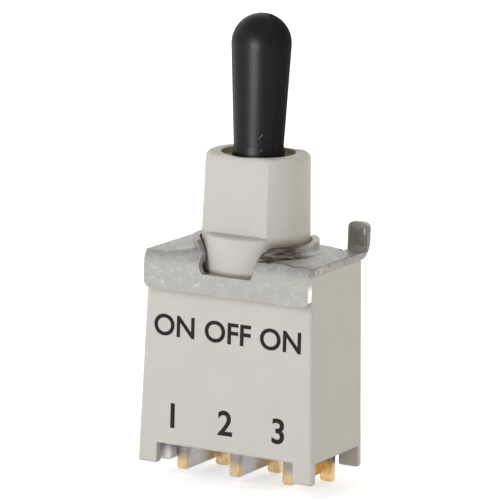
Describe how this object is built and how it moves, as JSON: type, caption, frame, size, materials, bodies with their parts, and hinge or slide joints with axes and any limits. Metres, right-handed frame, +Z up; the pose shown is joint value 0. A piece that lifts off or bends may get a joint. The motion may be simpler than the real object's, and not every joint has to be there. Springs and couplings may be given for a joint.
{
  "type": "toggle switch",
  "caption": "Sealed subminiature toggle switch: black bat lever in a flatted bushing, drafted pale case, formed tinned bracket and folded gold solder legs.",
  "frame": {"origin": "where the lever's axis meets the circuit board, level with the underside of the case's four feet", "axes": "+Z up the lever at rest, +X along the row of terminals, -Y the front face; the lever tips in the XZ plane"},
  "size_m": [0.0084, 0.0056, 0.0201],
  "materials": {
    "case_plastic": "pale warm grey moulded nylon, faintly mottled",
    "tinned_steel": "tin-plated sheet, satin with a fine sparkle",
    "lever_plastic": "black moulded plastic, satin",
    "steel": "bright steel",
    "seal_rubber": "black nitrile rubber",
    "plunger_brass": "turned brass",
    "contact_metal": "gold-plated copper alloy strip",
    "base_plastic": "dark glass-filled moulding",
    "resin": "cured epoxy resin"
  },
  "bodies": {
    "case": {"housing": "case_plastic", "mounting_bracket": "tinned_steel", "shaft_seal": "seal_rubber", "common_terminal": "contact_metal", "left_terminal": "contact_metal", "right_terminal": "contact_metal", "left_contact_button": "contact_metal", "right_contact_button": "contact_metal", "terminal_base": "base_plastic", "epoxy_seal": "resin"},
    "lever": {"toggle_lever": "lever_plastic", "pivot_pin": "steel", "plunger_spring": "steel"},
    "plunger": {"plunger": "plunger_brass"},
    "rocker": {"rocker_contact": "contact_metal"}
  },
  "joints": [
    {"name": "lever_tilt", "type": "hinge", "parent": "case", "child": "lever", "pos_m": [0, 0, 0.0117], "axis": [0, 1, 0], "range_deg": [-12, 12]},
    {"name": "plunger_slide", "type": "slide", "parent": "lever", "child": "plunger", "axis": [0, 0, 1], "range_m": [0, 0.0003], "stiffness_N_per_m": 200, "springref_m": -0.001, "deforming": ["plunger_spring"]},
    {"name": "rocker_tip", "type": "hinge", "parent": "case", "child": "rocker", "pos_m": [0, 0, 0.0046], "axis": [0, 1, 0], "range_deg": [-5, 5]}
  ],
  "couplings": [
    {"joint": "rocker_tip", "follows": "lever_tilt", "ratio": -0.41667}
  ]
}
